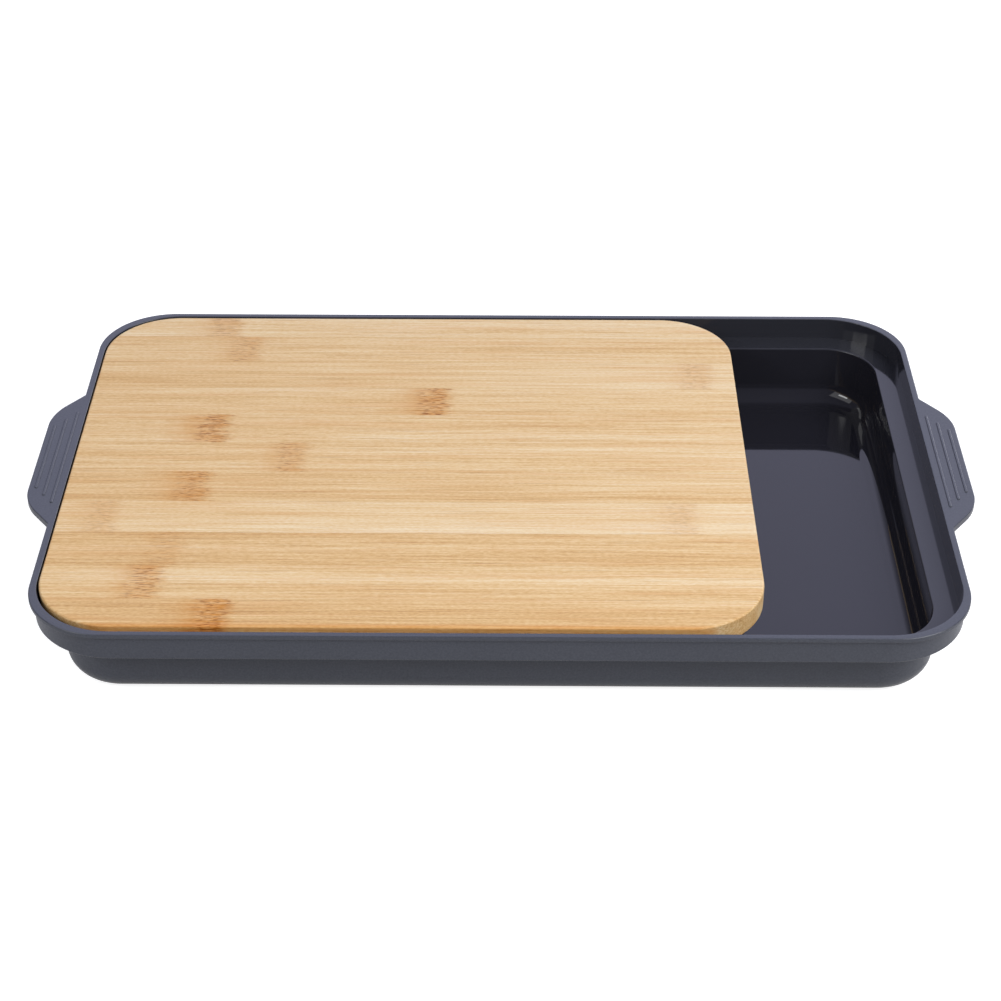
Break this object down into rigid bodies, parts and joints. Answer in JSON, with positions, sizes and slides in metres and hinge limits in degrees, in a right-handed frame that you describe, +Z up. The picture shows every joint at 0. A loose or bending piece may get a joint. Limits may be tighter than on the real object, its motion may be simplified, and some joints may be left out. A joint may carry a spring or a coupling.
{
  "type": "cutting board with tray",
  "caption": "Rounded rectangular bamboo cutting board that slides along the ledge of a deep grey catch tray with flat end handles.",
  "frame": {"origin": "middle of the tray's base, on the surface it stands on", "axes": "+X along the tray towards the end that the board leaves open, +Y towards the back, +Z up"},
  "size_m": [0.384, 0.242, 0.038],
  "materials": {
    "tray_plastic": "polished inside, satin outside",
    "bamboo_light": "sanded and lightly oiled",
    "bamboo_mid": "sanded and lightly oiled",
    "bamboo_tan": "sanded and lightly oiled"
  },
  "bodies": {
    "tray": {"tray": "tray_plastic"},
    "board": {"bamboo_strip_01": "bamboo_tan", "bamboo_strip_02": "bamboo_light", "bamboo_strip_03": "bamboo_mid", "bamboo_strip_04": "bamboo_light", "bamboo_strip_05": "bamboo_mid", "bamboo_strip_06": "bamboo_light", "bamboo_strip_07": "bamboo_mid", "bamboo_strip_08": "bamboo_mid", "bamboo_strip_09": "bamboo_mid", "bamboo_strip_10": "bamboo_mid", "bamboo_strip_11": "bamboo_light"}
  },
  "joints": [
    {"name": "board_slide", "type": "slide", "parent": "tray", "child": "board", "axis": [1, 0, 0], "range_m": [0, 0.075]}
  ]
}
